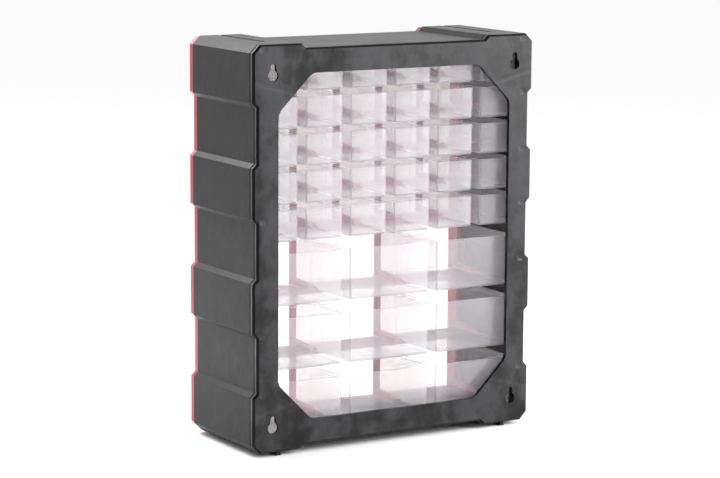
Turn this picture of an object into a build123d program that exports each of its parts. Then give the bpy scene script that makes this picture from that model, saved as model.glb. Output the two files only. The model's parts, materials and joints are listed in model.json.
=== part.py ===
from build123d import *
import os

os.makedirs("parts", exist_ok=True)

# A parts cabinet with small and large drawers, in millimetres.
# X runs across the front, the drawers face -Y and Z is up. The origin is the middle
# of the footprint, on the surface that the cabinet stands on.

# Cells of the front grid: columns of large drawers, each with two small ones above it
large_cell_width = 105.0
large_cell_height = 58.2
small_cell_height = 35.2
large_columns = 3
large_rows = 3
small_per_large = 2
small_rows = 5
post_width = 8.0
small_bar_height = 5.65
large_bar_height = 12.5
grid_thickness = 3.0

# Margins from the cells to the outside of the housing
side_margin = 14.5
top_margin = 18.3
bottom_margin = 16.0

# Depths, measured from front to rear
case_depth = 148.0
rim_depth = 10.0
pocket_depth = 15.5
skirt_depth = 7.0

# Stepped outline that the three mouldings of the housing share
step = 5.0
corner_cut = 9.0
corner_block = 60.0
recess_height = 60.0
recess_pitch = 125.0
recess_count = 3

# Walls and the clearances between mouldings
wall = 2.5
slip = 0.2
face_thickness = 2.4
spigot_wall = 1.8
pocket_wall = 2.2
tongue_length = 6.0

# Rear frame: a flange round an eight-sided window, with four keyholes
rear_bevel = 2.3
flange_thickness = 3.0
lip_depth = 5.0
lip_wall = 2.0
window_side_margin = 31.0
window_top_margin = 32.3
window_bottom_margin = 32.5
window_cut = 42.0
window_radius = 14.0
keyhole_radius = 6.2
keyhole_slot_width = 6.5
keyhole_rise = 9.8
keyhole_from_side = 24.5
keyhole_from_top = 33.8
keyhole_from_bottom = 27.5

# T-shaped stacking rails below the housing and the tracks in its top
rail_height = 4.5
rail_web = 3.4
rail_foot_width = 6.2
rail_foot_thickness = 1.8
rail_from_side = 33.0
rail_setback = 3.0
track_clearance = 0.4
track_wall = 1.6
track_end_from_rear = 36.0

# Guides that reach back from the grid between the drawers
guide_length = 45.0
guide_front_height = 8.5
guide_rear_height = 5.3
jamb_guide_width = 4.0
ledge_reach = 4.0
ledge_thickness = 1.6

# Drawers
side_gap = 0.5
drawer_lift = 0.3
head_gap = 0.6
stop_gap = 0.3
stop_lap = 1.6
panel_gap = 0.3
panel_setback = 5.0
pull_ahead = 4.0
drawer_rear_gap = 12.0
draft_angle = 0.5
tub_chamfer = 1.2
panel_chamfer = 0.8
pull_angle = 55.0
rib_reach = 1.5
rib_width = 1.2
rib_share = 0.8
divider_slot = 1.6
small_drawer_wall = 1.3
small_pull_width = 38.0
small_pull_height = 9.5
small_pull_base = 17.5
large_drawer_wall = 1.5
large_pull_width = 58.0
large_pull_height = 13.0
large_pull_base = 29.0

# Overall sizes that follow
small_cell_width = (large_cell_width - (small_per_large - 1) * post_width) / small_per_large
small_columns = large_columns * small_per_large
grid_width = large_columns * large_cell_width + (large_columns - 1) * post_width
large_pitch = large_cell_height + large_bar_height
small_pitch = small_cell_height + small_bar_height
grid_height = large_rows * large_pitch + small_rows * small_pitch - small_bar_height
case_width = grid_width + 2 * side_margin
case_height = bottom_margin + grid_height + top_margin
base_z = rail_height
top_z = base_z + case_height

# Stations along Y, from the rear face forwards
rear_y = (case_depth + pull_ahead) / 2
skirt_y = rear_y - skirt_depth
front_y = rear_y - case_depth
rim_back_y = front_y + rim_depth
grid_front_y = front_y + pocket_depth
grid_back_y = grid_front_y + grid_thickness
guide_end_y = grid_back_y + guide_length
panel_y = front_y + panel_setback
stop_y = grid_front_y - stop_gap
tub_back_y = rear_y - drawer_rear_gap
pull_reach = panel_setback + pull_ahead

# Cell floors from the bottom up, and cell centres from left to right
first_floor_z = base_z + bottom_margin
large_floors = [first_floor_z + row * large_pitch for row in range(large_rows)]
small_base_z = first_floor_z + large_rows * large_pitch
small_floors = [small_base_z + row * small_pitch for row in range(small_rows)]
grid_top_z = first_floor_z + grid_height


def column_centres(count, cell_width):
    """X of the middle of each cell in a row of the grid."""
    pitch = cell_width + post_width
    return [(column - (count - 1) / 2) * pitch for column in range(count)]


def facing_front(y):
    """Plane across the cabinet at y, with X across, Z up and its normal towards the front."""
    return Plane(origin=(0, y, 0), x_dir=(1, 0, 0), z_dir=(0, -1, 0))


def facing_right(x):
    """Plane along the depth of the cabinet at x, with Y across and Z up."""
    return Plane(origin=(x, 0, 0), x_dir=(0, 1, 0), z_dir=(1, 0, 0))


def level(y, z):
    """Level plane at y and z whose own Y points to the front."""
    return Plane(origin=(0, y, z), x_dir=(-1, 0, 0), z_dir=(0, 0, 1))


def outline_points():
    """Corners of the stepped outline, from the right end of the bottom recess round to the left."""
    half = case_width / 2
    block = half - corner_block
    lower = [
        (block - step, base_z + step),
        (block, base_z),
        (half - corner_cut, base_z),
        (half, base_z + corner_cut),
    ]
    side = []
    for row in range(recess_count):
        middle = (base_z + top_z) / 2 + (row - (recess_count - 1) / 2) * recess_pitch
        low = middle - recess_height / 2
        high = middle + recess_height / 2
        side += [(half, low - step), (half - step, low), (half - step, high), (half, high + step)]
    upper = [(x, base_z + top_z - z) for x, z in reversed(lower)]
    right = lower + side + upper
    left = [(-x, z) for x, z in reversed(right)]
    return right + left


def outline(inset=0.0):
    """The stepped outline as a face, drawn in evenly by the inset."""
    with BuildSketch() as face:
        with BuildLine():
            Polyline(*outline_points(), close=True)
        make_face()
        if inset > 0:
            offset(amount=-inset, kind=Kind.INTERSECTION)
    return face.sketch


def ring(outer_inset, thickness):
    """A band of even thickness that follows the stepped outline."""
    with BuildSketch() as band:
        add(outline(outer_inset))
        add(outline(outer_inset + thickness), mode=Mode.SUBTRACT)
    return band.sketch


def window(margin=0.0):
    """The eight-sided window of the rear flange, let out by the margin."""
    width = case_width - 2 * window_side_margin
    height = case_height - window_top_margin - window_bottom_margin
    middle = (base_z + top_z + window_bottom_margin - window_top_margin) / 2
    with BuildSketch() as opening:
        with Locations((0, middle)):
            Rectangle(width, height)
        chamfer(opening.vertices(), window_cut)
        fillet(opening.vertices(), window_radius)
        if margin > 0:
            offset(amount=margin)
    return opening.sketch


def tee(surface_z, grow=0.0):
    """Profile of the two stacking rails below a surface, or of their tracks when grown."""
    foot_low = surface_z - rail_height - grow
    foot_height = rail_foot_thickness + 2 * grow
    rail_x = case_width / 2 - rail_from_side
    with BuildSketch() as profile:
        with Locations((-rail_x, surface_z), (rail_x, surface_z)):
            Rectangle(rail_web + 2 * grow, rail_height + grow, align=(Align.CENTER, Align.MAX))
        with Locations((-rail_x, foot_low), (rail_x, foot_low)):
            Rectangle(rail_foot_width + 2 * grow, foot_height, align=(Align.CENTER, Align.MIN))
    return profile.sketch


def track_housing(margin):
    """Outside of the two tracks, from the top surface down, with a margin round it."""
    width = rail_foot_width + 2 * (track_clearance + track_wall + margin)
    depth = rail_height + track_clearance + track_wall + margin
    rail_x = case_width / 2 - rail_from_side
    with BuildSketch() as profile:
        with Locations((-rail_x, top_z), (rail_x, top_z)):
            Rectangle(width, depth, align=(Align.CENTER, Align.MAX))
    return profile.sketch


# Case shell: the stepped sleeve, moulded in one with its stacking rails and tracks
track_end_y = rear_y - track_end_from_rear
rail_end_y = rear_y - rail_setback

with BuildPart() as case_shell:
    with BuildSketch(facing_front(skirt_y)):
        add(ring(0, wall))
    extrude(amount=skirt_y - rim_back_y)
    with BuildSketch(facing_front(track_end_y + track_wall)):
        add(track_housing(0))
    extrude(amount=track_end_y + track_wall - rim_back_y)
    with BuildSketch(facing_front(track_end_y)):
        add(tee(top_z, track_clearance))
    extrude(amount=track_end_y - rim_back_y, mode=Mode.SUBTRACT)
    with BuildSketch(facing_front(rail_end_y)):
        add(tee(base_z))
    extrude(amount=rail_end_y - rim_back_y)
    rail_ends = case_shell.edges().filter_by(Axis.X).group_by(Axis.Z)[0]
    chamfer(rail_ends, rail_foot_thickness / 2)


# Rear frame: flange, bevelled edge, lip round the window and a tongue inside the shell
keyhole_x = case_width / 2 - keyhole_from_side
keyhole_centres = [
    (x, z)
    for x in (-keyhole_x, keyhole_x)
    for z in (base_z + keyhole_from_bottom, top_z - keyhole_from_top)
]

with BuildPart() as rear_frame:
    with BuildSketch(facing_front(rear_y)):
        add(outline())
    extrude(amount=skirt_depth)
    chamfer(rear_frame.faces().sort_by(Axis.Y)[-1].edges(), rear_bevel)
    with BuildSketch(facing_front(rear_y - flange_thickness)):
        add(outline(wall))
    extrude(amount=skirt_depth - flange_thickness, mode=Mode.SUBTRACT)
    with BuildSketch(facing_front(rear_y - flange_thickness)):
        add(ring(wall + slip, spigot_wall))
    extrude(amount=skirt_depth - flange_thickness + tongue_length)
    with BuildSketch(facing_front(rear_y)):
        add(window(lip_wall))
    extrude(amount=lip_depth)
    with BuildSketch(facing_front(rear_y)):
        add(window())
        with Locations(*keyhole_centres):
            Circle(keyhole_radius)
            with Locations((0, keyhole_rise / 2)):
                Rectangle(keyhole_slot_width, keyhole_rise)
            with Locations((0, keyhole_rise)):
                Circle(keyhole_slot_width / 2)
    extrude(amount=lip_depth, mode=Mode.SUBTRACT)


# Front frame: hollow rim, spigot inside the shell and pocket
pocket_reveal = stop_lap + stop_gap
pocket_height = grid_height + 2 * pocket_reveal
pocket_middle_z = (first_floor_z + grid_top_z) / 2


def cells(count, cell_width, floors, cell_height):
    """Openings of one size in the grid."""
    with BuildSketch() as openings:
        for floor_z in floors:
            with Locations(*[(x, floor_z) for x in column_centres(count, cell_width)]):
                Rectangle(cell_width, cell_height, align=(Align.CENTER, Align.MIN))
    return openings.sketch


def post_planes(count, cell_width):
    """A plane along the depth through the middle of each post between the cells."""
    half_pitch = (cell_width + post_width) / 2
    return [facing_right(x + half_pitch) for x in column_centres(count, cell_width)[:-1]]


def guide_profiles(floors):
    """Side view of the guides at these floors, sloping down towards the rear."""
    with BuildSketch() as profile:
        for floor_z in floors:
            with BuildLine():
                Polyline(
                    (grid_back_y, floor_z - ledge_thickness),
                    (guide_end_y, floor_z - ledge_thickness),
                    (guide_end_y, floor_z + guide_rear_height),
                    (grid_back_y, floor_z + guide_front_height),
                    close=True,
                )
            make_face()
    return profile.sketch


def ledge_profiles(floors):
    """Side view of the ledges that carry the drawers."""
    with BuildSketch() as profile:
        with Locations(*[(grid_back_y, floor_z) for floor_z in floors]):
            Rectangle(guide_length, ledge_thickness, align=(Align.MIN, Align.MAX))
    return profile.sketch


with BuildPart() as front_frame:
    with BuildSketch(facing_front(front_y + face_thickness)):
        add(outline())
    extrude(amount=face_thickness)
    with BuildSketch(facing_front(rim_back_y)):
        add(ring(0, wall))
    extrude(amount=rim_depth - face_thickness)
    with BuildSketch(facing_front(grid_back_y)):
        add(ring(wall + slip, spigot_wall))
    extrude(amount=grid_back_y - front_y - face_thickness)
    with BuildSketch(facing_front(grid_back_y)):
        add(track_housing(slip))
    extrude(amount=grid_back_y - rim_back_y, mode=Mode.SUBTRACT)
    with BuildSketch(facing_front(grid_front_y)):
        with Locations((0, pocket_middle_z)):
            Rectangle(grid_width + 2 * pocket_wall, pocket_height + 2 * pocket_wall)
    extrude(amount=pocket_depth)
    with BuildSketch(facing_front(grid_front_y)):
        with Locations((0, pocket_middle_z)):
            Rectangle(grid_width, pocket_height)
    extrude(amount=pocket_depth, mode=Mode.SUBTRACT)
    with BuildSketch(facing_front(rim_back_y)):
        add(tee(top_z, track_clearance))
    extrude(amount=rim_depth, mode=Mode.SUBTRACT)


# Grid at the back of the pocket, with the guides that carry the drawers
with BuildPart() as grid:
    with BuildSketch(facing_front(grid_back_y)):
        with Locations((0, pocket_middle_z)):
            Rectangle(grid_width + 2 * jamb_guide_width, pocket_height + 2 * pocket_wall)
        add(cells(large_columns, large_cell_width, large_floors, large_cell_height), mode=Mode.SUBTRACT)
        add(cells(small_columns, small_cell_width, small_floors, small_cell_height), mode=Mode.SUBTRACT)
    extrude(amount=grid_thickness)
    for count, cell_width, floors in (
        (large_columns, large_cell_width, large_floors),
        (small_columns, small_cell_width, small_floors),
    ):
        with BuildSketch(*post_planes(count, cell_width)):
            add(guide_profiles(floors))
        extrude(amount=post_width / 2, both=True)
        with BuildSketch(*post_planes(count, cell_width)):
            add(ledge_profiles(floors))
        extrude(amount=post_width / 2 + ledge_reach, both=True)
        for side in (-1, 1):
            with BuildSketch(facing_right(side * grid_width / 2)):
                add(guide_profiles(floors))
            extrude(amount=side * jamb_guide_width)
            with BuildSketch(facing_right(side * (grid_width / 2 - ledge_reach))):
                add(ledge_profiles(floors))
            extrude(amount=side * (ledge_reach + jamb_guide_width))


def row_bands(floors, cell_height):
    """Front view of the bands that rows of cells take up, over the full width of the grid."""
    with BuildSketch(facing_front(guide_end_y)) as bands:
        with Locations(*[(0, floor_z) for floor_z in floors]):
            Rectangle(case_width, cell_height, align=(Align.CENTER, Align.MIN))
    return bands.sketch


# The grid comes apart at the floor and the head of each row, into bars with their ledges
# and posts with their guides
large_bands = row_bands(large_floors, large_cell_height)
small_bands = row_bands(small_floors, small_cell_height)
grid_reach = grid_thickness + guide_length

with BuildPart() as grid_bars:
    add(grid.part)
    extrude(large_bands, amount=grid_reach, mode=Mode.SUBTRACT)
    extrude(small_bands, amount=grid_reach, mode=Mode.SUBTRACT)

with BuildPart() as large_posts:
    add(grid.part)
    extrude(large_bands, amount=grid_reach, mode=Mode.INTERSECT)

with BuildPart() as small_posts:
    add(grid.part)
    extrude(small_bands, amount=grid_reach, mode=Mode.INTERSECT)


def make_drawer(cell_width, cell_height, thickness, pull_width, pull_height, pull_base):
    """One open drawer, centred on X, with the floor of its cell at Z = 0."""
    width = cell_width - 2 * side_gap
    rim_z = cell_height - head_gap
    floor_z = drawer_lift + thickness
    front_top_z = cell_height + stop_lap
    inner_width = width - 2 * thickness
    inner_front_y = panel_y + thickness
    inner_length = tub_back_y - thickness - inner_front_y
    rib_outer = width / 2 - thickness / 2
    rib_inner = width / 2 - thickness - rib_reach
    with BuildPart() as drawer:
        with BuildSketch(Plane.XY.offset(rim_z)):
            with Locations((0, stop_y)):
                Rectangle(width, tub_back_y - stop_y, align=(Align.CENTER, Align.MIN))
        extrude(amount=drawer_lift - rim_z)
        sides_and_back = drawer.faces().filter_by(Axis.Z, reverse=True).sort_by(Axis.Y)[1:]
        draft(sides_and_back, Plane.XY.offset(rim_z), -draft_angle)
        bottom_edges = drawer.faces().sort_by(Axis.Z)[0].edges().sort_by(Axis.Y)[1:]
        back_edges = drawer.faces().sort_by(Axis.Y)[-1].edges().sort_by(Axis.Z)[1:3]
        chamfer(bottom_edges + back_edges, tub_chamfer)
        with BuildSketch(facing_front(stop_y)):
            with Locations((0, cell_height / 2)):
                Rectangle(cell_width - 2 * panel_gap, cell_height + 2 * stop_lap)
        extrude(amount=stop_y - panel_y)
        chamfer(drawer.faces().sort_by(Axis.Y)[0].edges(), panel_chamfer)
        with BuildSketch(Plane.XY.offset(floor_z)):
            with Locations((0, inner_front_y)):
                Rectangle(inner_width, inner_length, align=(Align.CENTER, Align.MIN))
        extrude(amount=front_top_z - floor_z, mode=Mode.SUBTRACT)
        inner_sides = drawer.faces().filter_by(Axis.X).sort_by(Axis.X)[1:-1]
        inner_ends = drawer.faces().filter_by(Axis.Y).sort_by(Axis.Y)[1::2]
        draft(inner_sides + inner_ends, Plane.XY.offset(front_top_z), draft_angle)
        with BuildSketch(level(panel_y, pull_base)):
            Trapezoid(pull_width, pull_reach, pull_angle, align=(Align.CENTER, Align.MIN))
        extrude(amount=pull_height)
        with BuildSketch(level(inner_front_y, pull_base + thickness)):
            hollow_width = pull_width - 2 * thickness
            Trapezoid(hollow_width, pull_reach, pull_angle, align=(Align.CENTER, Align.MIN))
        extrude(amount=pull_height - 2 * thickness, mode=Mode.SUBTRACT)
        with BuildSketch(Plane.XY.offset(drawer_lift + thickness / 2)):
            for side in (-1, 1):
                with Locations((side * (rib_outer + rib_inner) / 2, inner_front_y + inner_length / 2)):
                    with GridLocations(1, divider_slot + rib_width, 1, 2):
                        Rectangle(rib_outer - rib_inner, rib_width)
        extrude(amount=rib_share * (rim_z - drawer_lift))
    return drawer.part


small_drawer = make_drawer(
    small_cell_width, small_cell_height, small_drawer_wall,
    small_pull_width, small_pull_height, small_pull_base,
)
large_drawer = make_drawer(
    large_cell_width, large_cell_height, large_drawer_wall,
    large_pull_width, large_pull_height, large_pull_base,
)


def place_drawers(name, drawer, floors, centres):
    """A copy of the drawer in each cell: row 1 is the top one and column 1 the left one."""
    placed = []
    for row, floor_z in enumerate(reversed(floors), start=1):
        for column, x in enumerate(centres, start=1):
            piece = drawer.moved(Location((x, 0, floor_z)))
            piece.label = f"{name}_r{row}_c{column}"
            placed.append(piece)
    return placed


drawers = place_drawers(
    "small_drawer", small_drawer, small_floors, column_centres(small_columns, small_cell_width)
)
drawers += place_drawers(
    "large_drawer", large_drawer, large_floors, column_centres(large_columns, large_cell_width)
)

case_shell.part.label = "case_shell"
rear_frame.part.label = "rear_frame"
front_frame.part.label = "front_frame"
grid_bars.part.label = "grid_bars"
large_posts.part.label = "large_posts"
small_posts.part.label = "small_posts"
mouldings = [case_shell, rear_frame, front_frame, grid_bars, large_posts, small_posts]

for piece in [*[moulding.part for moulding in mouldings], *drawers]:
    export_step(piece, f"parts/{piece.label}.step")
    print(piece.label, len(piece.solids()), "solid,", round(piece.volume), "mm3")
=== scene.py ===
# %% [markdown]
# The object is a parts cabinet seen from behind: a dark stepped sleeve with a framed window in
# its back, a red lattice at its front and clear drawers in between. The construction model
# already holds every size, so the first step loads it, and everything below is built on it.

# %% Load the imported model
import json
from math import cos, degrees, radians, sin

import bmesh
import bpy
from mathutils import Matrix, Vector

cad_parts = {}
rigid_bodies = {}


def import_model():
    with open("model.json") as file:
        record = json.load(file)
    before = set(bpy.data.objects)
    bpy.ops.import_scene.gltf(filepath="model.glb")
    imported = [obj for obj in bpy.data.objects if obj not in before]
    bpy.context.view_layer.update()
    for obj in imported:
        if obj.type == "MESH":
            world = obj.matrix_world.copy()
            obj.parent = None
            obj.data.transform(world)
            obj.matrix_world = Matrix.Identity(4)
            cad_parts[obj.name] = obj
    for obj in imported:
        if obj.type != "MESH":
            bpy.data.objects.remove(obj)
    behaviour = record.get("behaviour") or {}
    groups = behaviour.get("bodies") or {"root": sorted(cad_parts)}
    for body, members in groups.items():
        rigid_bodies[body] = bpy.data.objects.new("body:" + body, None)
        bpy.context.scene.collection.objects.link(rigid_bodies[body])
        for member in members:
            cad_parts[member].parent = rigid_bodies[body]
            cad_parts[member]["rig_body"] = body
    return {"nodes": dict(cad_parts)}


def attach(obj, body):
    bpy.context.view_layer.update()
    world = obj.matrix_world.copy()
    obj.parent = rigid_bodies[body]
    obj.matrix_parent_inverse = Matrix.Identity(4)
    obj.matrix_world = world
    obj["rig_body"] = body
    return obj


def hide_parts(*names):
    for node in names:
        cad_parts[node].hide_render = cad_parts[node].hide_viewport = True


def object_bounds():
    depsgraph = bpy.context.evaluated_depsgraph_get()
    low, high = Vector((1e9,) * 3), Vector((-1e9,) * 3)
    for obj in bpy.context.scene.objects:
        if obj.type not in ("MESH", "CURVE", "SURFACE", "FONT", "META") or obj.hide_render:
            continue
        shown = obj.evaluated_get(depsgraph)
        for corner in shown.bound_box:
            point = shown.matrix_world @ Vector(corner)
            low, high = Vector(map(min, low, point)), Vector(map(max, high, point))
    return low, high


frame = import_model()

scene = bpy.context.scene
cad_low, cad_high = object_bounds()
cad_size = cad_high - cad_low
print("construction box in mm:", [round(side * 1000, 1) for side in cad_size])

# %% [markdown]
# A photograph fixes where the camera stood. About sixty corners of the cabinet were found in
# it, and the one camera that sees them all in their places gave the turn, the height and the
# distance used here. The lens is long, because the cabinet's edges hardly converge.

# %% Stand the camera where the photograph was taken
camera_turn = radians(148.79)
camera_rise = radians(9.0)
camera_roll = radians(0.35)
camera_distance = 2.928
aim_point = Vector((0.0, 0.076, 0.227))
aim_shift_across = -0.0398
aim_shift_up = 0.0011

towards_camera = Vector((
    sin(camera_turn) * cos(camera_rise),
    -cos(camera_turn) * cos(camera_rise),
    sin(camera_rise),
))
level_across = Vector((cos(camera_turn), sin(camera_turn), 0.0))
level_up = towards_camera.cross(level_across)
across = cos(camera_roll) * level_across + sin(camera_roll) * level_up
up = cos(camera_roll) * level_up - sin(camera_roll) * level_across

camera_place = aim_point + camera_distance * towards_camera
camera_place += aim_shift_across * level_across + aim_shift_up * level_up
camera_data = bpy.data.cameras.new("studio_camera")
camera_data.sensor_width = 36.0
camera_data.lens = 132.5
camera_data.clip_end = 50.0
camera = bpy.data.objects.new("studio_camera", camera_data)
scene.collection.objects.link(camera)
turned = Matrix((across, up, towards_camera)).transposed()
camera.matrix_world = Matrix.Translation(camera_place) @ turned.to_4x4()
scene.camera = camera
print("camera at", [round(value, 3) for value in camera_place])

# %% [markdown]
# Material nodes are wired with Python sums. A Wire holds one output socket, and adding or
# multiplying two wires adds the Math node for it. A number can stand on either side of a sign,
# so that 1.0 - mask works too.

# %% Let an output socket stand in a sum
class Wire:
    """One output socket that can stand in a sum."""

    def __init__(self, sheet, socket):
        self.sheet = sheet
        self.socket = socket

    def __add__(self, other):
        return self.sheet.math("ADD", self, other)

    def __radd__(self, other):
        return self.sheet.math("ADD", other, self)

    def __sub__(self, other):
        return self.sheet.math("SUBTRACT", self, other)

    def __rsub__(self, other):
        return self.sheet.math("SUBTRACT", other, self)

    def __mul__(self, other):
        return self.sheet.math("MULTIPLY", self, other)

    def __rmul__(self, other):
        return self.sheet.math("MULTIPLY", other, self)

    def __pow__(self, power):
        return self.sheet.math("POWER", self, power)

    def __abs__(self):
        return self.sheet.math("ABSOLUTE", self)


# %% [markdown]
# A Sheet is the node tree that the nodes go into. One method, add, makes any node: its settings
# come first, because some of them change which sockets the node has. The other methods are
# short names for the few nodes that nearly every material here needs.

# %% Add nodes to a tree
class Sheet:
    """A node tree that nodes are added to."""

    def __init__(self, tree):
        self.tree = tree

    def add(self, kind, settings, sockets, output=0):
        """Adds a node, with its settings first and then its sockets, and gives an output."""
        node = self.tree.nodes.new(kind)
        for name, value in settings.items():
            setattr(node, name, value)
        for name, value in sockets.items():
            if isinstance(value, Wire):
                self.tree.links.new(value.socket, node.inputs[name])
            else:
                node.inputs[name].default_value = value
        return Wire(self, node.outputs[output])

    def math(self, operation, *values):
        """Adds a Math node for one operation on wires and numbers."""
        return self.add("ShaderNodeMath", {"operation": operation}, dict(enumerate(values)))

    def band(self, value, low, high):
        """Goes smoothly from 0 at low to 1 at high."""
        sockets = {"Value": value, "From Min": low, "From Max": high}
        return self.add("ShaderNodeMapRange", {"interpolation_type": "SMOOTHSTEP"}, sockets)

    def blend(self, factor, first, second):
        """Mixes two colours."""
        sockets = {0: factor, 6: first, 7: second}
        return self.add("ShaderNodeMix", {"data_type": "RGBA"}, sockets, output=2)

    def noise(self, place, scale, detail=2.0, roughness=0.5):
        """Adds soft noise with a number of patches per metre."""
        sockets = {"Vector": place, "Scale": scale, "Detail": detail, "Roughness": roughness}
        return self.add("ShaderNodeTexNoise", {"noise_dimensions": "3D"}, sockets)


# %% [markdown]
# A material starts empty, with the object's own coordinates to place its patterns by. Every
# piece sits at the origin, so these are the same metres for all of them, and a pattern stays
# where it is on the cabinet.

# %% Begin and end a material
def new_material(name):
    """An empty node material: the material, its sheet and its object coordinates."""
    material = bpy.data.materials.new(name)
    material.use_nodes = True
    tree = material.node_tree
    tree.nodes.clear()
    sheet = Sheet(tree)
    place = sheet.add("ShaderNodeTexCoord", {}, {}, output="Object")
    return material, sheet, place


def close_material(sheet, shader):
    """Adds the output node behind the finished shader."""
    output = sheet.tree.nodes.new("ShaderNodeOutputMaterial")
    sheet.tree.links.new(shader.socket, output.inputs["Surface"])


# %% [markdown]
# Black plastic shows its form by what it mirrors, and clear plastic by what stands behind it.
# So the room is white where the camera looks and about half as bright behind the camera, as in
# a real studio, where the backdrop gets most of the light.

# %% Paint the room
sky = bpy.data.worlds.new("studio_room")
sky.use_nodes = True
sheet = Sheet(sky.node_tree)
direction = sheet.add("ShaderNodeTexCoord", {}, {}, output="Generated")
behind = sheet.add("ShaderNodeVectorMath", {"operation": "DOT_PRODUCT"},
                   {0: direction, 1: tuple(towards_camera)}, output="Value")
backdrop_strength, strength_drop = 1.35, 0.7
brightness = backdrop_strength - strength_drop * sheet.band(behind, -0.35, 0.45)
background = sky.node_tree.nodes["Background"]
background.inputs["Color"].default_value = (1.0, 1.0, 1.0, 1.0)
sky.node_tree.links.new(brightness.socket, background.inputs["Strength"])
scene.world = sky
scene.view_settings.view_transform = "Standard"
print("room strength from", backdrop_strength, "down to", round(backdrop_strength - strength_drop, 2))

# %% [markdown]
# Three soft lamps add to the room's light. One stands where the upper right of the rear flange
# mirrors it, and it shines on the drawers through the window. The other two light the floor,
# and the lower parts of the cabinet mirror that floor.

# %% Hang the soft lamps
def soft_lamp(name, spot, aim, width, height, power):
    """A rectangular lamp that points at a place."""
    data = bpy.data.lights.new(name, "AREA")
    data.shape = "RECTANGLE"
    data.size = width
    data.size_y = height
    data.energy = power
    lamp = bpy.data.objects.new(name, data)
    scene.collection.objects.link(lamp)
    lamp.location = spot
    lamp.rotation_euler = (Vector(aim) - Vector(spot)).to_track_quat("-Z", "Y").to_euler()


soft_lamp("mirrored_lamp", (-1.3, 1.1, 0.78), (0.0, 0.0, 0.3), width=1.1, height=1.1, power=42.0)
soft_lamp("rear_floor_lamp", (-0.3, 0.7, 1.8), (0.0, 0.0, 0.22), width=1.2, height=1.2, power=5.0)
soft_lamp("side_floor_lamp", (0.6, -0.6, 0.9), (0.55, -0.5, 0.0), width=0.6, height=0.6, power=15.0)
print("lamps:", len(bpy.data.lights))

# %% [markdown]
# The floor is one wide, pale sheet, so that no edge of it comes into the picture.

# %% Lay the floor
floor_mesh = bpy.data.meshes.new("studio_floor")
floor_reach = 14.0
floor_corners = [
    (floor_reach * x, floor_reach * y, 0.0) for x, y in ((-1, -1), (1, -1), (1, 1), (-1, 1))
]
floor_mesh.from_pydata(floor_corners, [], [(0, 1, 2, 3)])
floor = bpy.data.objects.new("studio_floor", floor_mesh)
scene.collection.objects.link(floor)
material, sheet, place = new_material("pale_floor")
grain = sheet.noise(place, 40.0)
colour = sheet.blend(grain, (0.95, 0.95, 0.95, 1.0), (0.98, 0.98, 0.98, 1.0))
matt = sheet.add("ShaderNodeBsdfPrincipled", {}, {"Base Color": colour, "Roughness": 0.9})
close_material(sheet, matt)
floor_mesh.materials.append(material)
print("floor reaches", floor_reach, "m each way")

# %% [markdown]
# The sleeve and the rear frame are moulded in black plastic with a fine spark texture. Flat
# walls of such mouldings are never even: the shine comes and goes in soft blotches where the
# melt cooled at different speeds. So the colour stays nearly black, and the roughness and the
# surface height carry the life.

# %% Mould the sleeve's plastic
material, sheet, place = new_material("sleeve_plastic")
blotch = sheet.noise(place, 14.0, 3.0, 0.6)
mottle = sheet.noise(place, 75.0, 3.0, 0.6)
texture = sheet.noise(place, 1600.0, 1.0, 0.5)
scuff = sheet.band(sheet.noise(place, 38.0, 6.0, 0.72), 0.58, 0.76)
shade = sheet.blend(blotch, (0.005, 0.005, 0.0054, 1.0), (0.013, 0.013, 0.014, 1.0))
shade = sheet.blend(0.3 * scuff, shade, (0.04, 0.04, 0.042, 1.0))
gloss = 0.32 + 0.16 * blotch + 0.08 * mottle
height = 0.9 * blotch + 0.2 * mottle + 0.02 * texture
relief = sheet.add("ShaderNodeBump", {}, {"Strength": 0.55, "Distance": 0.002, "Height": height})
close_material(sheet, sheet.add("ShaderNodeBsdfPrincipled", {}, {
    "Base Color": shade, "Roughness": gloss, "Normal": relief, "Specular IOR Level": 0.2,
}))
sleeve_plastic = material
print("sleeve nodes:", len(material.node_tree.nodes))

# %% [markdown]
# The rear flange is large, flat and thin, so it shows how it was filled. The melt flowed down
# from the top in streaks, two fronts met in a fine weld line from each corner of the window to
# the keyhole beside it, and the ribs behind the recesses left short sink marks. The lines and
# the marks have fixed places, so they are written with distances from the flange's middle.
# They are dents in the surface, and a painted highlight makes their colour lighter too.

# %% Mould the flange's plastic
flange_middle_z = 0.227
weld_start_x, weld_start_rise = 0.128, 0.169
weld_across, weld_upwards = 0.970, 0.243
rib_spacing, rib_shift = 0.0625, 0.0325

material, sheet, place = new_material("flange_plastic")
side = abs(sheet.add("ShaderNodeSeparateXYZ", {}, {0: place}, output="X"))
rise = sheet.add("ShaderNodeSeparateXYZ", {}, {0: place}, output="Z") - flange_middle_z
streaked = sheet.add("ShaderNodeMapping", {}, {"Vector": place, "Scale": (1.0, 1.0, 0.4)})
flow = sheet.noise(streaked, 22.0, 3.0, 0.55)
mottle = sheet.noise(place, 40.0, 4.0, 0.6)
cloud = sheet.band(0.55 * flow + 0.45 * mottle, 0.4, 0.62)
texture = sheet.noise(place, 1400.0, 1.0, 0.5)
weld_side = side - weld_start_x
weld_rise = abs(rise) - weld_start_rise
wobble = 0.003 * (sheet.noise(place, 60.0) - 0.5)
off_weld = abs(weld_across * weld_rise - weld_upwards * weld_side + wobble)
along_weld = weld_across * weld_side + weld_upwards * weld_rise
weld_dent_and_highlight = (1.0 - sheet.band(off_weld, 0.0005, 0.004)) * sheet.band(along_weld, -0.001, 0.003)
off_rib = abs(sheet.math("PINGPONG", rise, rib_spacing) - rib_shift)
past_inner_end = sheet.band(side, 0.162, 0.165)
past_outer_end = sheet.band(side, 0.169, 0.173)
across_rib = past_inner_end * (1.0 - past_outer_end)
depth = sheet.band(sheet.noise(place, 31.0), 0.35, 0.65)
sink_dent_and_highlight = (1.0 - sheet.band(off_rib, 0.0008, 0.0048)) * across_rib * depth
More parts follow.
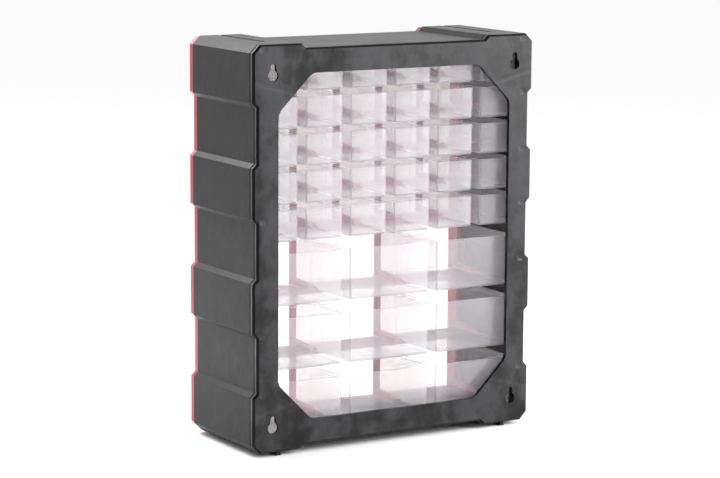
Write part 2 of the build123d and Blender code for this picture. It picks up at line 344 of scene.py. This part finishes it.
shade = sheet.blend(cloud, (0.002, 0.002, 0.0022, 1.0), (0.03, 0.03, 0.033, 1.0))
# The weld lines and sink marks are painted lighter: a painted highlight along their dents.
shade = sheet.blend(0.1 * weld_dent_and_highlight + 0.14 * sink_dent_and_highlight, shade, (0.075, 0.075, 0.08, 1.0))
gloss = 0.25 + 0.22 * cloud + 0.1 * flow
height = 0.9 * flow + 0.4 * mottle - 0.2 * weld_dent_and_highlight - 0.8 * sink_dent_and_highlight + 0.01 * texture
relief = sheet.add("ShaderNodeBump", {}, {"Strength": 0.5, "Distance": 0.002, "Height": height})
close_material(sheet, sheet.add("ShaderNodeBsdfPrincipled", {}, {
    "Base Color": shade, "Roughness": gloss, "Normal": relief, "Specular IOR Level": 0.28,
}))
flange_plastic = material
print("flange nodes:", len(material.node_tree.nodes))

# %% [markdown]
# The bevel round the rear, the walls of the holes, the stacking tracks and the seam between the
# two mouldings look much darker than the walls beside them. This material gives them a very dark
# colour, a low roughness and little specular. In the holes, the tracks and the seam the dark colour
# is painted shade, for the shade that falls there. On the bevel it is a glossier finish that
# mirrors one dark spot of the room, and partly painted shade.

# %% Paint shade into the seam, the tracks and the holes, and gloss the bevel
material, sheet, place = new_material("gloss_and_painted_shade")
streak = sheet.noise(place, 60.0, 2.0, 0.5)
# The very dark colour is painted shade in the seam, the tracks and the holes, and partly painted
# shade on the rear bevel.
shade = sheet.blend(streak, (0.0025, 0.0025, 0.0025, 1.0), (0.005, 0.005, 0.0055, 1.0))
close_material(sheet, sheet.add("ShaderNodeBsdfPrincipled", {}, {
    "Base Color": shade, "Roughness": 0.2 + 0.1 * streak, "Specular IOR Level": 0.1,
}))
gloss_and_painted_shade = material
print("black finishes:", [item.name for item in (sleeve_plastic, flange_plastic, gloss_and_painted_shade)])

# %% [markdown]
# The front frame and its grid are moulded in a bright red. The outside is smooth, with a slight
# ripple from the tool. The lattice inside has a duller surface, because its cores weren't
# polished, and it looks paler for that.

# %% Mould the red plastic
def red(name, low, high, gloss_base):
    """A red moulding between two colours, with a faint ripple."""
    material, sheet, place = new_material(name)
    blotch = sheet.noise(place, 22.0, 2.0, 0.5)
    texture = sheet.noise(place, 700.0, 1.0, 0.5)
    shade = sheet.blend(blotch, low, high)
    relief = sheet.add("ShaderNodeBump", {}, {
        "Strength": 0.25, "Distance": 0.0005, "Height": 0.7 * blotch + 0.1 * texture,
    })
    close_material(sheet, sheet.add("ShaderNodeBsdfPrincipled", {}, {
        "Base Color": shade, "Roughness": gloss_base + 0.12 * blotch, "Normal": relief,
    }))
    return material


glossy_red = red("glossy_red", (0.24, 0.011, 0.019, 1.0), (0.31, 0.017, 0.027, 1.0), 0.26)
dull_red = red("dull_red", (0.34, 0.058, 0.072, 1.0), (0.41, 0.074, 0.09, 1.0), 0.5)
print("red finishes: glossy outside, dull inside")

# %% [markdown]
# The drawers are clear plastic, slightly milky. At each surface a little light is mirrored,
# more of it where the surface is seen at a slant. The rest mostly goes straight through, and
# some of it scatters. Scattered light is bluish, and what comes through is a little warm.
# Three face attributes mark the places that look different. At the "rim" the light that runs
# inside the wall comes out, so it looks white. A rounded "corner" bends the light away, so it is
# a grey line in front of white and a pale one in front of black. The hollow pulls get a painted
# cream tint and more cover, which stand in for the light from the front that shows through them.
# Real refraction would be truer, but through thirty-nine drawers it would give more noise than form.

# %% Mould the clear plastic
material, sheet, place = new_material("clear_plastic")
cloud = sheet.noise(place, 34.0, 2.0, 0.5)
rim = sheet.add("ShaderNodeAttribute", {"attribute_name": "rim"}, {}, output="Fac")
painted_front_light = sheet.add("ShaderNodeAttribute", {"attribute_name": "painted_front_light"}, {}, output="Fac")
corner = sheet.add("ShaderNodeAttribute", {"attribute_name": "corner"}, {}, output="Fac")
slant = sheet.add("ShaderNodeLayerWeight", {}, {"Blend": 0.5}, output="Facing")
shade = sheet.blend(cloud, (0.72, 0.73, 0.83, 1.0), (0.83, 0.83, 0.90, 1.0))
# The pulls' cream is a painted tint that stands in for the light from the front shining through them.
shade = sheet.blend(painted_front_light, shade, (1.0, 0.94, 0.85, 1.0))
shade = sheet.blend(corner, shade, (0.42, 0.42, 0.47, 1.0))
cover = 0.12 + 0.04 * cloud + 0.18 * slant ** 3.0 + 0.6 * rim + 0.22 * corner + 0.15 * painted_front_light
shine = 0.04 + 0.5 * slant ** 5.0
relief = sheet.add("ShaderNodeBump", {}, {"Strength": 0.25, "Distance": 0.0006, "Height": cloud})
face = sheet.add("ShaderNodeBsdfPrincipled", {}, {
    "Base Color": shade, "Roughness": 0.3, "Normal": relief, "Specular IOR Level": 0.2,
})
glow = sheet.add("ShaderNodeBsdfTranslucent", {}, {
    "Color": (0.78, 0.78, 0.87, 1.0), "Normal": relief,
})
milky = sheet.add("ShaderNodeMixShader", {}, {0: 0.5 - 0.3 * corner, 1: face, 2: glow})
open_air = sheet.add("ShaderNodeBsdfTransparent", {}, {"Color": (0.995, 0.985, 0.975, 1.0)})
mirror = sheet.add("ShaderNodeBsdfPrincipled", {}, {
    "Base Color": (0.95, 0.95, 0.95, 1.0), "Metallic": 1.0, "Roughness": 0.28, "Normal": relief,
})
body = sheet.add("ShaderNodeMixShader", {}, {0: cover, 1: open_air, 2: milky})
close_material(sheet, sheet.add("ShaderNodeMixShader", {}, {0: shine, 1: body, 2: mirror}))
clear_plastic = material
scene.cycles.transparent_max_bounces = 40
print("materials:", [item.name for item in bpy.data.materials])

# %% [markdown]
# Some edges and faces of the housing need a treatment of their own. They are found by where
# they are and which way they look, not by number, because the numbers change with each new
# construction model. These are the questions that the next steps ask of them.

# %% Tell the walls of the housing apart
seam_y = 0.069
front_y = -0.072
touching = 1e-4


def outward(face):
    """Whether a wall along the depth faces away from the middle of the cabinet."""
    middle = face.calc_center_median()
    return face.normal.x * middle.x + face.normal.z * (middle.z - flange_middle_z) > 0


def at_seam(edge):
    """Whether both ends of an edge lie in the plane of the seam."""
    return all(abs(vert.co.y - seam_y) < touching for vert in edge.verts)


def along_depth(face):
    """Whether a face is a wall that runs from front to rear."""
    return abs(face.normal.y) < 0.1


print("seam at", seam_y, "m, front at", front_y, "m")

# %% [markdown]
# Two details of the housing are finer than its construction model. Where the sleeve meets the
# rear frame, both have a chamfer, which makes a thin groove on the side walls; its dark colour
# is painted shade. At the other end the red rim stands back a little from the sleeve's outside.
# Each is made by one function that reshapes a mesh.

# %% Open the seam and draw in the front rim
seam_chamfer = 0.001
rim_setback = 0.0016
outer_side_x = 0.1745
corner_block_x = 0.121
block_rise, recess_rise = 0.2215, 0.2165


def open_seam(bm):
    """Chamfers the outer edge where the sleeve and the rear frame meet."""
    edges = [
        edge for edge in bm.edges
        if at_seam(edge) and any(along_depth(face) and outward(face) for face in edge.link_faces)
    ]
    bmesh.ops.bevel(bm, geom=edges, offset=seam_chamfer, segments=1, affect="EDGES")
    bm.normal_update()


def draw_in(bm):
    """Draws the outside of the front rim in, so that it stands back from the sleeve."""
    walls_of = {}
    for face in bm.faces:
        middle = face.calc_center_median()
        limit = block_rise if abs(middle.x) > corner_block_x else recess_rise
        outermost = abs(middle.x) > outer_side_x or abs(middle.z - flange_middle_z) > limit
        reaches_front = min(vert.co.y for vert in face.verts) < front_y + touching
        if along_depth(face) and outermost and reaches_front and outward(face):
            for vert in face.verts:
                walls_of.setdefault(vert, []).append(face.normal.copy())
    for vert, normals in walls_of.items():
        first = normals[0]
        others = [normal for normal in normals if normal.dot(first) < 0.99]
        if others:
            second = others[0]
            share = rim_setback / (1 + first.dot(second))
            vert.co -= share * (first + second)
        else:
            vert.co -= rim_setback * first
    bm.normal_update()


print("seam chamfer", seam_chamfer, "m, rim set back", rim_setback, "m")

# %% [markdown]
# The construction model's meshes have sharp edges. A copy of each housing piece is merged and
# every real edge is rounded a little, as a mould does. The rounded edges catch the light as
# thin lines, which is most of what the eye reads as plastic. Weighted normals keep the large
# walls flat up to the rounding. Each copy replaces its node, so the sharp one is only kept for
# the physics.

# %% Round the edges of a moulding
seam_zone = 0.0011


def rounded_copy(node, name, radius, materials, reshape, pick_material):
    """A copy of a node with merged vertices and rounded edges, which replaces the node."""
    bm = bmesh.new()
    bm.from_mesh(frame["nodes"][node].data)
    bmesh.ops.remove_doubles(bm, verts=bm.verts, dist=1e-5)
    bm.normal_update()
    reshape(bm)
    sharp = [
        edge for edge in bm.edges
        if edge.is_manifold and edge.calc_face_angle() > radians(25)
        and not all(abs(vert.co.y - seam_y) < seam_zone for vert in edge.verts)
    ]
    bmesh.ops.bevel(bm, geom=sharp, offset=radius, segments=2, profile=0.5, affect="EDGES",
                    clamp_overlap=True)
    bm.normal_update()
    for face in bm.faces:
        face.smooth = True
        face.material_index = pick_material(face)
    mesh = bpy.data.meshes.new(name)
    bm.to_mesh(mesh)
    bm.free()
    mesh.set_sharp_from_angle(angle=radians(35))
    piece = bpy.data.objects.new(name, mesh)
    scene.collection.objects.link(piece)
    for material in materials:
        mesh.materials.append(material)
    flatten = piece.modifiers.new("weighted_normals", "WEIGHTED_NORMAL")
    flatten.keep_sharp = True
    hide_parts(node)
    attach(piece, frame["nodes"][node]["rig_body"])
    print(name, "has", len(mesh.polygons), "faces")
    return piece


# %% [markdown]
# Each face of the sleeve and of the flange gets one of two materials, picked by where the face
# is and which way it looks: the textured plastic, or a dark one that paints shade into the seam,
# the tracks and the holes, and gives the rear bevel a glossier finish with partly painted shade.

# %% Finish the three mouldings of the housing
track_x, track_half_width = 0.147, 0.0037
track_low_z, track_high_z = 0.444, 0.4493
keyhole_x, keyhole_reach = 0.1555, 0.0063
bevel_start_y = 0.0735
hole_start_y = 0.0705


def in_groove(face):
    """Whether a face is one of the two chamfers of the seam."""
    return 0.3 < abs(face.normal.y) < 0.95 and abs(face.calc_center_median().y - seam_y) < seam_zone


def painted_shade_on_sleeve(face):
    """1, for painted shade, in the seam and inside the two stacking tracks."""
    middle = face.calc_center_median()
    beside_track = abs(abs(middle.x) - track_x) < track_half_width
    in_track = beside_track and track_low_z < middle.z < track_high_z
    return 1 if in_groove(face) or in_track else 0


def shade_and_gloss_on_flange(face):
    """1 on the rear bevel, for a glossier finish with partly painted shade, and for painted shade in
    the seam and on the walls of the window and the keyholes.
    """
    middle = face.calc_center_median()
    bevel = 0.4 < face.normal.y < 0.93 and middle.y > bevel_start_y
    hole_wall = abs(face.normal.y) < 0.2 and middle.y > hole_start_y
    window = hole_wall and not outward(face)
    keyhole = hole_wall and abs(abs(middle.x) - keyhole_x) < keyhole_reach
    return 1 if bevel or window or keyhole or in_groove(face) else 0


shell = rounded_copy(
    "case_shell", "stepped_sleeve", radius=0.0009, materials=[sleeve_plastic, gloss_and_painted_shade],
    reshape=open_seam, pick_material=painted_shade_on_sleeve,
)
rear = rounded_copy(
    "rear_frame", "rear_flange", radius=0.0005, materials=[flange_plastic, gloss_and_painted_shade],
    reshape=open_seam, pick_material=shade_and_gloss_on_flange,
)
rim_piece = rounded_copy(
    "front_frame", "front_rim", radius=0.0006, materials=[glossy_red],
    reshape=draw_in, pick_material=lambda face: 0,
)

# %% [markdown]
# On the real cabinet the grid is one moulding: bars with ledges for the drawers' floors, and
# posts with guides for their sides. The construction model keeps them as three nodes for the
# physics. Here they become one mesh again, so that one finish runs over all of it.

# %% Join the grid's bars and posts into one lattice
lattice_bm = bmesh.new()
for node in ("grid_bars", "large_posts", "small_posts"):
    lattice_bm.from_mesh(frame["nodes"][node].data)
lattice_mesh = bpy.data.meshes.new("red_lattice")
lattice_bm.to_mesh(lattice_mesh)
lattice_bm.free()
lattice_mesh.materials.append(dull_red)
lattice = bpy.data.objects.new("red_lattice", lattice_mesh)
scene.collection.objects.link(lattice)
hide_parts("grid_bars", "large_posts", "small_posts")
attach(lattice, "housing")
print("lattice faces:", len(lattice_mesh.polygons))

# %% [markdown]
# A drawer is one moulding: a tub with rounded corners and a slight draft, a taller front that
# overlaps its opening, a hollow pull, and two pairs of ribs that hold a divider. It is built
# the way a toolmaker would cut it: the outside is a union of rounded blocks, and the inside is
# cut out of it with a second, smaller set. These helpers make such blocks.

# %% Make rounded blocks
draft = radians(0.5)
corner_round = 0.0032
panel_round = 0.0009
pull_round = 0.0015
rear_inside_y = 0.064
stop_y = -0.0568
panel_y = -0.067
pull_y = -0.076


def block(low, high):
    """A box as an editable mesh."""
    bm = bmesh.new()
    bmesh.ops.create_cube(bm, size=1.0)
    for vert in bm.verts:
        places = zip(vert.co, low, high)
        vert.co = Vector([least if value < 0 else most for value, least, most in places])
    return bm


def round_off(bm, radius, segments, wanted):
    """Rounds the edges whose middles are wanted."""
    edges = [edge for edge in bm.edges if wanted((edge.verts[0].co + edge.verts[1].co) / 2)]
    bmesh.ops.bevel(bm, geom=edges, offset=radius, segments=segments, profile=0.5, affect="EDGES")


def narrow_downwards(bm, top):
    """Draws the sides and the back in towards the bottom, so that the moulding leaves its tool."""
    for vert in bm.verts:
        inward = (top - vert.co.z) * draft
        vert.co.x -= inward if vert.co.x > 0 else -inward
        if vert.co.y > 0:
            vert.co.y -= inward


def wedge(front_width, rear_width, front, rear, low, high):
    """A pull: narrower at its front than where it leaves the panel."""
    bm = block((-rear_width / 2, front, low), (rear_width / 2, rear, high))
    for vert in bm.verts:
        if vert.co.y < (front + rear) / 2:
            vert.co.x *= front_width / rear_width
    return bm


print("draft in degrees:", round(degrees(draft), 2))

# %% [markdown]
# The blocks are added and cut with Boolean modifiers, all on the first block and in their
# order. The result is taken as a plain mesh, and the helper objects are removed again.

# %% Combine the blocks
def loose_object(bm, name):
    """An object for an editable mesh, which is used up."""
    mesh = bpy.data.meshes.new(name)
    bm.to_mesh(mesh)
    bm.free()
    piece = bpy.data.objects.new(name, mesh)
    scene.collection.objects.link(piece)
    return piece


def combine(name, first, steps):
    """The mesh that is left when blocks are added to the first one or cut out of it."""
    body = loose_object(first, name)
    helpers = []
    for number, (operation, bm) in enumerate(steps):
        helper = loose_object(bm, f"{name}_tool_{number}")
        helpers.append(helper)
        cut = body.modifiers.new(operation.lower(), "BOOLEAN")
        cut.operation = operation
        cut.solver = "EXACT"
        cut.object = helper
    bpy.context.view_layer.update()
    ready = body.evaluated_get(bpy.context.evaluated_depsgraph_get())
    mesh = bpy.data.meshes.new_from_object(ready)
    for helper in [*helpers, body]:
        bpy.data.objects.remove(helper)
    return mesh


# %% [markdown]
# Clear plastic looks different where light leaves it or is bent: on the upper rims and round the
# corners. The pull gets a painted cream tint, which stands in for the light from the front that
# shows through it. The places are known from the shape, so each face gets a mark for them, and
# the material reads the marks. The slanted sides of the pull aren't rounded, though no axis is
# square to them, so they are left out of the corners.

# %% Mark the rims, corners and pull of a drawer
square_enough = 0.88
height_slack = 2e-4


def mark_faces(mesh, rim, front_top, pull_painted_light):
    """Stores the rims, the rounded corners and the pull's walls, which get a painted cream tint, as
    face attributes.
    """
    bm = bmesh.new()
    bm.from_mesh(mesh)
    bmesh.ops.remove_doubles(bm, verts=bm.verts, dist=2e-6)
    bm.normal_update()
    marks = bm.faces.layers.float
    for mark in ("rim", "corner", "painted_front_light"):
        marks.new(mark)
    rim_layer, corner_layer, painted_light_layer = marks["rim"], marks["corner"], marks["painted_front_light"]
    for face in bm.faces:
        normal = face.normal
        middle = face.calc_center_median()
        on_pull = middle.y < panel_y - height_slack
        slanted_side = on_pull and abs(normal.z) < 0.1
        biggest = max(abs(normal.x), abs(normal.y), abs(normal.z))
        rounded = biggest < square_enough and not slanted_side
        on_top = min(abs(middle.z - rim), abs(middle.z - front_top)) < height_slack
        top = normal.z > 0.9 and on_top
        face[rim_layer] = 1.0 if top else 0.0
        face[corner_layer] = 1.0 if rounded else 0.0
        # The pull's faces get the painted cream tint for the light from the front.
        face[painted_light_layer] = pull_painted_light if on_pull and not rounded else 0.0
        face.smooth = True
    bm.to_mesh(mesh)
    bm.free()
    mesh.set_sharp_from_angle(angle=radians(30))
    print(mesh.name, "has", len(mesh.polygons), "faces")


# %% [markdown]
# A divider card can stand halfway back in a drawer, between two upright ribs on each side
# wall. The ribs reach a little into the wall and the floor, so that the union leaves no gap.

# %% Shape the divider's ribs
rib_reach = 0.0015
rib_from_middle = 0.0014
rib_half_width = 0.0006
rib_share = 0.8


def divider_ribs(width, wall, bottom, rim):
    """Two upright ribs on each side wall, with a slot between them for a divider."""
    middle_y = (panel_y + rear_inside_y) / 2
    ribs = bmesh.new()
    for side in (-1, 1):
        for step in (-1, 1):
            in_wall = side * (width / 2 - wall / 2)
            free_end = side * (width / 2 - wall - rib_reach)
            rib_y = middle_y + step * rib_from_middle
            rib = block((min(in_wall, free_end), rib_y - rib_half_width, bottom + wall / 2),
                        (max(in_wall, free_end), rib_y + rib_half_width, rib_share * rim))
            mesh = bpy.data.meshes.new("rib")
            rib.to_mesh(mesh)
            rib.free()
            ribs.from_mesh(mesh)
            bpy.data.meshes.remove(mesh)
    return ribs


# %% [markdown]
# Small and large drawers have the same form, so one function shapes both. The tub, the panel
# and the outside of the pull are added together. Then the inside of the tub and of the pull is
# cut out, which leaves an even wall, and the divider's ribs are added last, because the cut
# would take them away.

# %% Shape a drawer of any size
side_gap = 0.0005
drawer_lift = 0.0003
head_gap = 0.0006
panel_gap = 0.0003
stop_lap = 0.0016
pull_taper, scoop_taper = 1.4, 1.6
overlap = 0.001
near = 0.001
end_zone_y = 0.05


def shaped_drawer(name, cell_width, cell_height, wall, pull_width, pull_height, pull_base, pull_painted_light):
    """One drawer's mesh, with the middle of its cell's floor at the origin of X and Z."""
    width = cell_width - 2 * side_gap
    bottom, rim = drawer_lift, cell_height - head_gap
    front_top = cell_height + stop_lap
    panel_half = cell_width / 2 - panel_gap

    def tub_edge(middle):
        along_floor = middle.z < bottom + near and middle.y > stop_y
        at_back = middle.y > end_zone_y and abs(middle.x) > width / 4 and middle.z < rim - near
        return along_floor or at_back

    def panel_edge(middle):
        return middle.y < panel_y + touching or abs(middle.x) > cell_width / 2 - near

    def hollow_edge(middle):
        upright = abs(middle.y) > end_zone_y and abs(middle.x) > width / 4 and middle.z < front_top
        return middle.z < bottom + wall + near or upright

    tub = block((-width / 2, stop_y - 2 * overlap, bottom), (width / 2, rear_inside_y, rim))
    narrow_downwards(tub, rim)
    round_off(tub, corner_round, 4, tub_edge)
    panel = block((-panel_half, panel_y, -stop_lap), (panel_half, stop_y, front_top))
    round_off(panel, panel_round, 2, panel_edge)
    front_width = pull_width - pull_taper * (panel_y - pull_y)
    pull_top = pull_base + pull_height
    pull = wedge(front_width, pull_width, pull_y, panel_y + overlap, pull_base, pull_top)
    round_off(pull, pull_round, 3, lambda middle: middle.y < pull_y + 2 * pull_round)
    hollow = block((-width / 2 + wall, panel_y + wall, bottom + wall),
                   (width / 2 - wall, rear_inside_y - wall, front_top + 10 * overlap))
    narrow_downwards(hollow, front_top)
    round_off(hollow, corner_round - wall, 3, hollow_edge)
    scoop = wedge(front_width - scoop_taper * wall, pull_width - 2 * wall, pull_y + wall,
                  panel_y + wall + overlap, pull_base + wall, pull_top - wall)
    ribs = divider_ribs(width, wall, bottom, rim)
    mesh = combine(name, tub, [("UNION", panel), ("UNION", pull), ("DIFFERENCE", hollow),
                               ("DIFFERENCE", scoop), ("UNION", ribs)])
    mark_faces(mesh, rim, front_top, pull_painted_light)
    return mesh


# %% [markdown]
# The cells of the grid give the sizes. The painted cream tint of the pulls, which stands in for
# the light from the front, is stronger on the small drawers, as the photograph shows it.

# %% Shape both sizes of drawer
small_mesh = shaped_drawer(
    "small_drawer", cell_width=0.0485, cell_height=0.0352, wall=0.0013,
    pull_width=0.038, pull_height=0.0095, pull_base=0.0175, pull_painted_light=1.0,
)
large_mesh = shaped_drawer(
    "large_drawer", cell_width=0.105, cell_height=0.0582, wall=0.0015,
    pull_width=0.058, pull_height=0.013, pull_base=0.029, pull_painted_light=0.4,
)

# %% [markdown]
# The drawers sit in rows and columns, so a small Geometry Nodes tree works out each place from
# a column and a row number. A drawer never closes twice the same way, so the tree also pushes
# each one in by a random amount, up to a quarter of a millimetre, with a fixed seed.

# %% Build the tree that files a drawer in its cell
def filing_tree():
    """Takes a drawer, its column and row, and the pitches and first place of the grid."""
    tree = bpy.data.node_groups.new("file_in_cell", "GeometryNodeTree")
    interface = tree.interface
    interface.new_socket("Drawer", in_out="INPUT", socket_type="NodeSocketGeometry")
    for name in ("Column", "Row", "Seed"):
        interface.new_socket(name, in_out="INPUT", socket_type="NodeSocketInt")
    for name in ("Pitch Across", "Pitch Down", "First X", "First Z", "Looseness"):
        interface.new_socket(name, in_out="INPUT", socket_type="NodeSocketFloat")
    interface.new_socket("Plastic", in_out="INPUT", socket_type="NodeSocketMaterial")
    interface.new_socket("Filed", in_out="OUTPUT", socket_type="NodeSocketGeometry")
    sheet = Sheet(tree)
    given = tree.nodes.new("NodeGroupInput")
    entry = {socket.name: Wire(sheet, socket) for socket in given.outputs if socket.name}
    x = entry["First X"] + entry["Column"] * entry["Pitch Across"]
    z = entry["First Z"] - entry["Row"] * entry["Pitch Down"]
    drawer_number = entry["Column"] + 10 * entry["Row"]
    push = sheet.add("FunctionNodeRandomValue", {"data_type": "FLOAT"}, {
        2: 0.0, 3: entry["Looseness"], "ID": drawer_number, "Seed": entry["Seed"],
    }, output=1)
    spot = sheet.add("ShaderNodeCombineXYZ", {}, {"X": x, "Y": push, "Z": z})
    origin = sheet.add("GeometryNodeMeshLine", {}, {"Count": 1})
    points = sheet.add("GeometryNodeSetPosition", {}, {"Geometry": origin, "Offset": spot})
    placed = sheet.add("GeometryNodeInstanceOnPoints", {}, {
        "Points": points, "Instance": entry["Drawer"],
    })
    real = sheet.add("GeometryNodeRealizeInstances", {}, {"Geometry": placed})
    done = sheet.add("GeometryNodeSetMaterial", {}, {"Geometry": real, "Material": entry["Plastic"]})
    output = tree.nodes.new("NodeGroupOutput")
    tree.links.new(done.socket, output.inputs["Filed"])
    return tree


filing = filing_tree()
socket_of = {
    item.name: item.identifier for item in filing.interface.items_tree if item.in_out == "INPUT"
}
print("inputs of the tree:", list(socket_of))

# %% [markdown]
# Every drawer slides by itself, so the tree runs once for each, and its result becomes that
# drawer's own mesh. The names count from 1, from the top row and the left column as seen from
# the front, and the pitches are the ones that the grid has.

# %% File the drawers
small_grid = {
    "Pitch Across": 0.0565, "Pitch Down": 0.04085, "First X": -0.14125, "First Z": 0.396, "Seed": 7,
}
large_grid = {
    "Pitch Across": 0.113, "Pitch Down": 0.0707, "First X": -0.113, "First Z": 0.1619, "Seed": 11,
}
looseness = 0.00025


def file_drawer(node, mesh, inputs):
    """Runs the tree for one drawer, and its result replaces the drawer's node."""
    piece = bpy.data.objects.new(node + "_clear", mesh.copy())
    scene.collection.objects.link(piece)
    modifier = piece.modifiers.new("file_in_cell", "NODES")
    modifier.node_group = filing
    for name, value in inputs.items():
        modifier[socket_of[name]] = value
    bpy.context.view_layer.update()
    ready = piece.evaluated_get(bpy.context.evaluated_depsgraph_get())
    result = bpy.data.meshes.new_from_object(ready)
    piece.modifiers.clear()
    piece.data = result
    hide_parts(node)
    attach(piece, node)


kinds_filed = (
    ("small_drawer", small_mesh, 5, 6, small_grid),
    ("large_drawer", large_mesh, 3, 3, large_grid),
)
for kind, mesh, rows, columns, grid in kinds_filed:
    for row in range(rows):
        for column in range(columns):
            cell = {"Column": column, "Row": row, "Looseness": looseness, "Plastic": clear_plastic}
            file_drawer(f"{kind}_r{row + 1}_c{column + 1}", mesh, {**grid, **cell})
